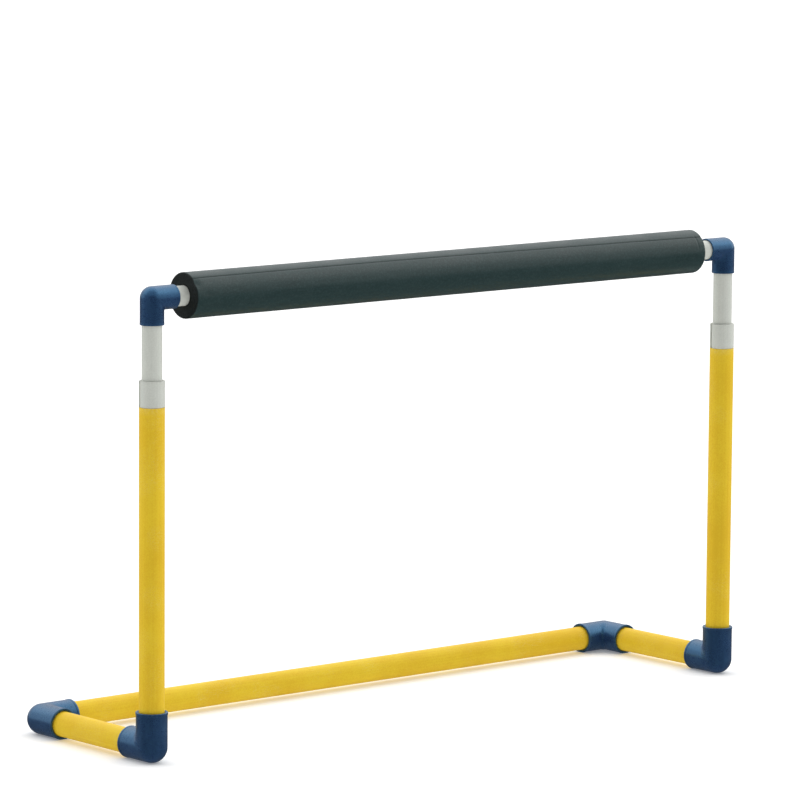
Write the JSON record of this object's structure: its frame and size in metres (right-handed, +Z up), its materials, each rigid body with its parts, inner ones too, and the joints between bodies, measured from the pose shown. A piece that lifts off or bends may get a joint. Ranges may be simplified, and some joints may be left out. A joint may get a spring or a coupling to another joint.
{
  "type": "adjustable jump bar",
  "caption": "Free-standing plastic-tube jump bar: U-shaped floor frame, two uprights, and a foam-padded crossbar on sliding posts held by split collars.",
  "frame": {"origin": "on the floor, under the centre of the whole object's bounding box, with the bar at its lowest setting", "axes": "+X along the bar to the right elbow, +Y from the uprights back to the rear floor tube, +Z up"},
  "size_m": [1.3206, 0.3628, 0.7975],
  "materials": {
    "yellow_tube": "satin",
    "white_tube": "satin",
    "blue_elbow": "gloss",
    "dark_foam": "matte",
    "black_plug": "matte"
  },
  "bodies": {
    "frame": {"rear_base_tube": "yellow_tube", "left_side_tube": "yellow_tube", "right_side_tube": "yellow_tube", "left_rear_elbow": "blue_elbow", "right_rear_elbow": "blue_elbow", "left_front_elbow": "blue_elbow", "right_front_elbow": "blue_elbow", "left_upright_tube": "yellow_tube", "right_upright_tube": "yellow_tube"},
    "bar": {"left_post": "white_tube", "right_post": "white_tube", "left_post_foot_plug": "black_plug", "right_post_foot_plug": "black_plug", "left_top_elbow": "blue_elbow", "right_top_elbow": "blue_elbow", "crossbar_tube": "white_tube", "foam_pad": "dark_foam"},
    "left_collar": {"left_collar": "white_tube"},
    "right_collar": {"right_collar": "white_tube"}
  },
  "joints": [
    {"name": "bar_height", "type": "slide", "parent": "frame", "child": "bar", "axis": [0, 0, 1], "range_m": [0, 0.277]},
    {"name": "left_collar_slide", "type": "slide", "parent": "frame", "child": "left_collar", "axis": [0, 0, 1], "range_m": [0, 0.088]},
    {"name": "right_collar_slide", "type": "slide", "parent": "frame", "child": "right_collar", "axis": [0, 0, 1], "range_m": [0, 0.088]}
  ]
}
